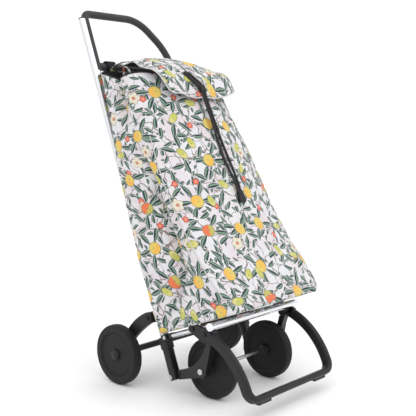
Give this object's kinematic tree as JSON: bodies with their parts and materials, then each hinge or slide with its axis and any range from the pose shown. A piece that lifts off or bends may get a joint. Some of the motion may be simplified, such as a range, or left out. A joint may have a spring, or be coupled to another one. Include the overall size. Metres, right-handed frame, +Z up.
{
  "type": "shopping trolley on wheels",
  "caption": "Folding shopping trolley: leaning aluminium frame with asymmetric grip, tall cloth bag with front flap and pull cord, foldable platform with loop foot, wheels front and rear.",
  "frame": {"origin": "on the ground under the middle of the overall box", "axes": "+Z up, -Y the front that the platform points to, +X across to the trolley's right as seen from the front"},
  "size_m": [0.4564, 0.6681, 1.0341],
  "materials": {
    "satin_aluminium": "satin anodised",
    "bright_aluminium": "polished",
    "black_plastic": "moulded, fine texture",
    "grip_plastic": "soft-touch moulded",
    "black_frame": "matt powder coat",
    "wheel_foam": "dense matt foam",
    "hub_plastic": "moulded",
    "steel": "zinc plated",
    "bag_fabric": "printed plain weave",
    "base_board": "pressed board",
    "cord": "braided",
    "cord_fitting": "moulded"
  },
  "bodies": {
    "frame": {"upright_left": "satin_aluminium", "upright_right": "satin_aluminium", "upright_cap_left": "black_plastic", "upright_cap_right": "black_plastic", "post_left": "black_plastic", "post_right": "black_plastic", "post_collar_left": "black_plastic", "post_collar_right": "black_plastic", "hinge_pin_left": "steel", "hinge_pin_right": "steel", "post_pin_left": "steel", "post_pin_right": "steel", "rear_clamp_left": "black_plastic", "rear_clamp_right": "black_plastic", "rear_pivot_nut_left": "steel", "rear_pivot_nut_right": "steel", "bag_loop_left": "bag_fabric", "bag_loop_right": "bag_fabric", "handle_grip": "grip_plastic", "bag_shell": "bag_fabric"},
    "platform": {"rail_fitting_left": "black_plastic", "rail_fitting_right": "black_plastic", "rail_arm_left": "satin_aluminium", "rail_arm_right": "satin_aluminium", "bracket_left": "black_plastic", "bracket_right": "black_plastic", "catch_left": "steel", "catch_right": "steel", "bolt_spacer_left": "black_plastic", "bolt_spacer_right": "black_plastic", "loop_pad_left": "black_plastic", "loop_pad_right": "black_plastic", "rail_front_bar": "bright_aluminium", "front_loop": "black_frame", "loop_bolts": "steel", "front_axle": "steel", "front_axle_nuts": "steel", "bag_base_board": "base_board"},
    "rear_frame": {"rear_arm_left": "black_frame", "rear_arm_right": "black_frame", "rear_axle_tube": "black_frame", "rear_axle": "steel", "rear_axle_nuts": "steel"},
    "front_wheel_left": {"front_tyre_left": "wheel_foam", "front_hub_left": "hub_plastic"},
    "front_wheel_right": {"front_tyre_right": "wheel_foam", "front_hub_right": "hub_plastic"},
    "rear_wheel_left": {"rear_tyre_left": "wheel_foam", "rear_hub_left": "hub_plastic"},
    "rear_wheel_right": {"rear_tyre_right": "wheel_foam", "rear_hub_right": "hub_plastic"},
    "flap": {"bag_flap": "bag_fabric", "flap_ring": "cord_fitting", "pull_cord_left": "cord", "pull_cord_right": "cord", "cord_end": "cord_fitting"}
  },
  "joints": [
    {"name": "platform_fold", "type": "hinge", "parent": "frame", "child": "platform", "pos_m": [0, -0.029, 0.15036], "axis": [-1, 0, 0], "range_deg": [0, 70], "deforming": ["bag_shell"]},
    {"name": "rear_fold", "type": "hinge", "parent": "frame", "child": "rear_frame", "pos_m": [0, 0.0218, 0.1962], "axis": [-1, 0, 0], "range_deg": [0, 57]},
    {"name": "flap_lift", "type": "hinge", "parent": "frame", "child": "flap", "pos_m": [0, 0.24884, 0.87277], "axis": [-1, 0, 0], "range_deg": [0, 80]},
    {"name": "front_left_spin", "type": "hinge", "parent": "platform", "child": "front_wheel_left", "pos_m": [-0.114, -0.1457, 0.0805], "axis": [-1, 0, 0], "continuous": true},
    {"name": "front_right_spin", "type": "hinge", "parent": "platform", "child": "front_wheel_right", "pos_m": [0.114, -0.1457, 0.0805], "axis": [-1, 0, 0], "continuous": true},
    {"name": "rear_left_spin", "type": "hinge", "parent": "rear_frame", "child": "rear_wheel_left", "pos_m": [-0.209, 0.1173, 0.0825], "axis": [-1, 0, 0], "continuous": true},
    {"name": "rear_right_spin", "type": "hinge", "parent": "rear_frame", "child": "rear_wheel_right", "pos_m": [0.209, 0.1173, 0.0825], "axis": [-1, 0, 0], "continuous": true}
  ]
}
